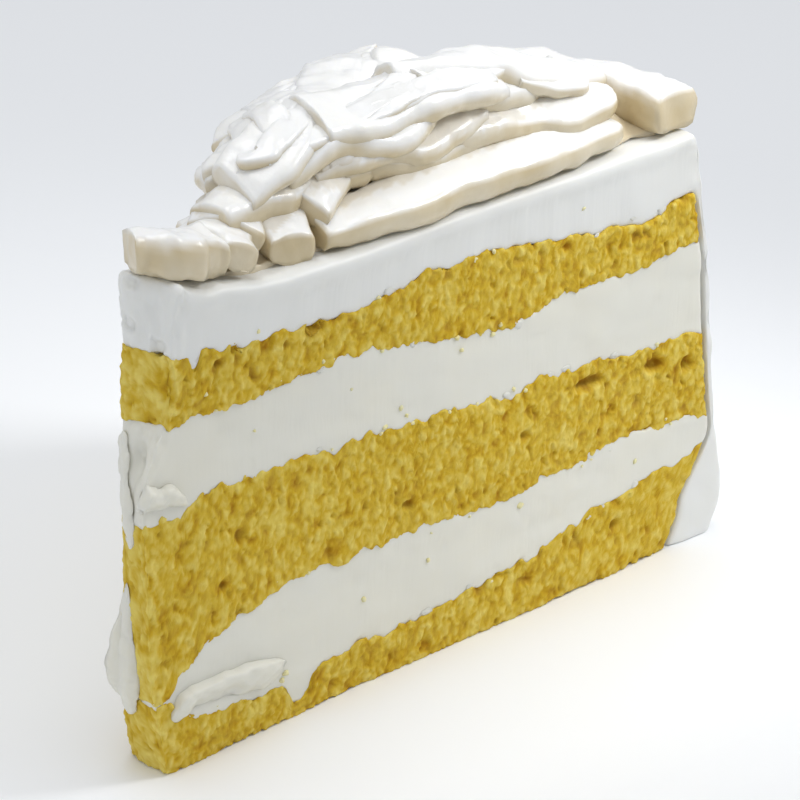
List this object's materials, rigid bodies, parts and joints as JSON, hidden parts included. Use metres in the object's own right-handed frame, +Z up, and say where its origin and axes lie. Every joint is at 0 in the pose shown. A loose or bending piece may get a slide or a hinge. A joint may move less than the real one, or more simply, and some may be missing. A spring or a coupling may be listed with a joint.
{
  "type": "layer cake slice",
  "caption": "Wedge slice of layer cake: yellow sponge layers, whipped cream fillings, a cream frosting coat over top and rim, and a heap of creamy young coconut strips",
  "frame": {"origin": "middle of the underside of the bounding box, on the surface that the slice stands on", "axes": "+X runs from the blunt tip to the rim, -Y is the side of the seen cut face, +Z is up"},
  "size_m": [0.1137, 0.0658, 0.0857],
  "materials": {
    "sponge": "yellow sponge crumb, open and matt",
    "cream": "whipped cream, smooth and softly glossy",
    "coconut": "young coconut flesh in cream, wet and glossy"
  },
  "bodies": {
    "root": {"sponge_bottom": "sponge", "cream_lower": "cream", "sponge_middle": "sponge", "cream_upper": "cream", "sponge_top": "sponge", "frosting": "cream", "coconut_strips": "coconut"}
  },
  "joints": []
}
